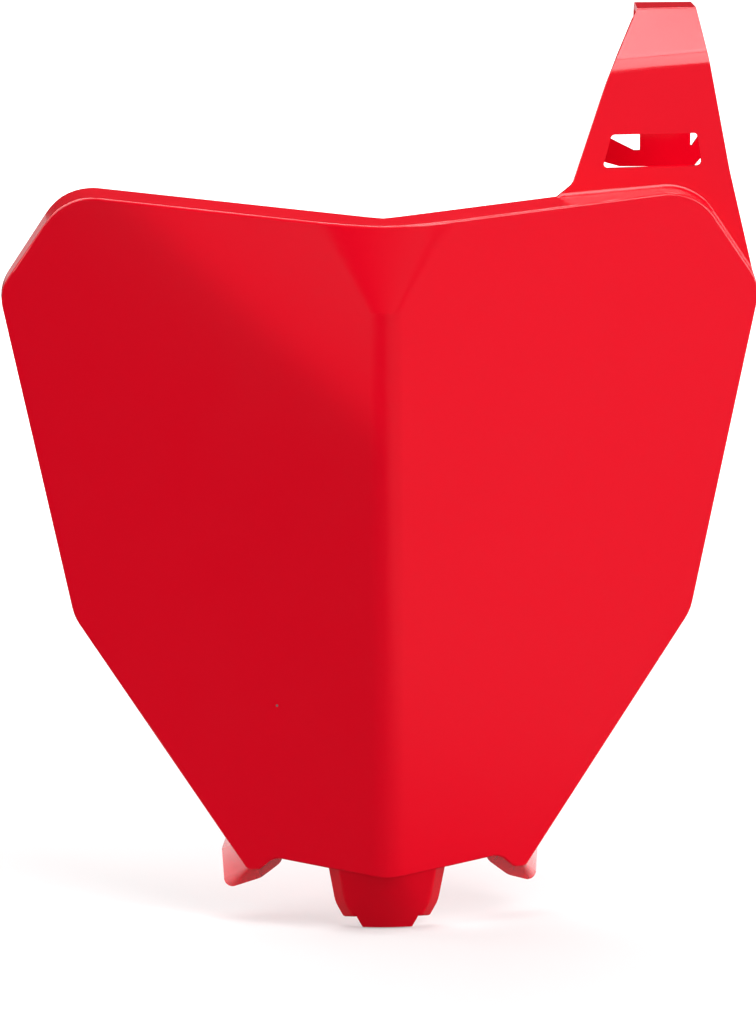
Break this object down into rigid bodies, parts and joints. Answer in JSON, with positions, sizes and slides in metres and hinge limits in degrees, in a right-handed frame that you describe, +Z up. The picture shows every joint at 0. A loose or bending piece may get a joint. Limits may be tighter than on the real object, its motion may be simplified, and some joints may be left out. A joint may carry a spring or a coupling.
{
  "type": "racing number board",
  "caption": "Ridged plastic number board for the front of an off-road motorcycle, with a rim, lower tab and ears, and a folded strap that loops round the handlebar.",
  "frame": {"origin": "middle of the flat tip of the lower tab", "axes": "+Z up along the ridge of the face, -Y out of the front of the face, +X to the right of a person who looks at the front"},
  "size_m": [0.2276, 0.0879, 0.2692],
  "materials": {
    "red_plastic": "satin-gloss moulded red, coloured through"
  },
  "bodies": {
    "root": {"number_board": "red_plastic"}
  },
  "joints": []
}
